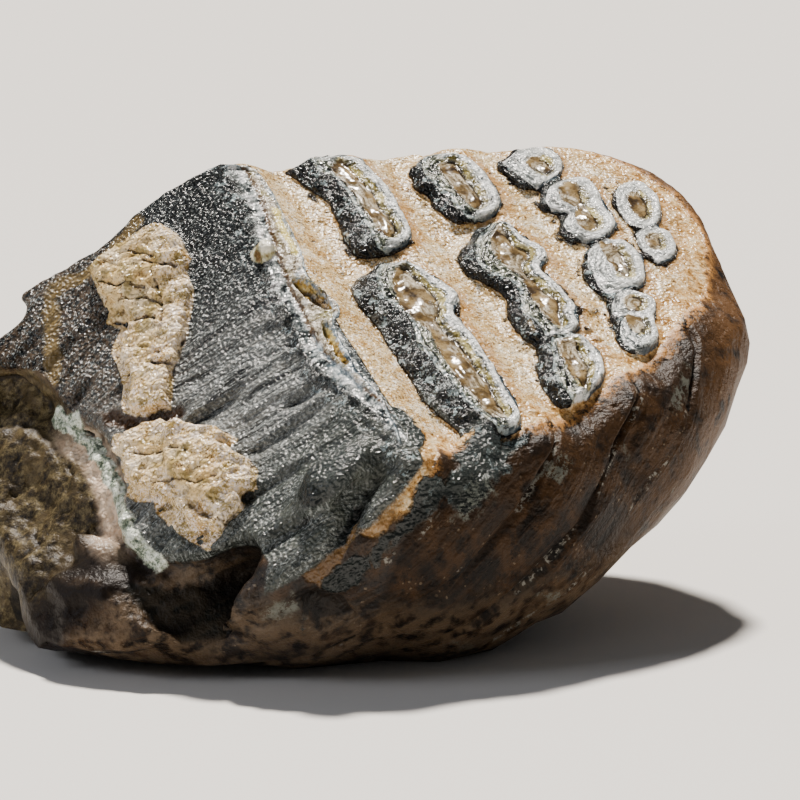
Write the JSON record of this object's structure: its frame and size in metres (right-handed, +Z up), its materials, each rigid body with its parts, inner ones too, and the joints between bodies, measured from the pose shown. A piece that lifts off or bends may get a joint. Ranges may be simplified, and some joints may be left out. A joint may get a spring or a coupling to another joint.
{
  "type": "mammoth molar fragment",
  "caption": "Heavy broken fragment of a mammoth molar: worn chewing surface with enamel loops set in cement, a bare ribbed enamel front, brown cement sides and a flat resting base.",
  "frame": {"origin": "centre of the bounding box in plan, on the surface that the fragment rests on", "axes": "+X along the tooth towards its rounded back end, +Y to the far side that the chewing surface rises to, +Z up"},
  "size_m": [0.167, 0.1032, 0.0949],
  "materials": {
    "fossil_molar": "lacquered fossil: tan and brown cement, blue-black granular enamel with pale worn rims, brown dentine basins"
  },
  "bodies": {
    "root": {"molar_fragment": "fossil_molar"}
  },
  "joints": []
}
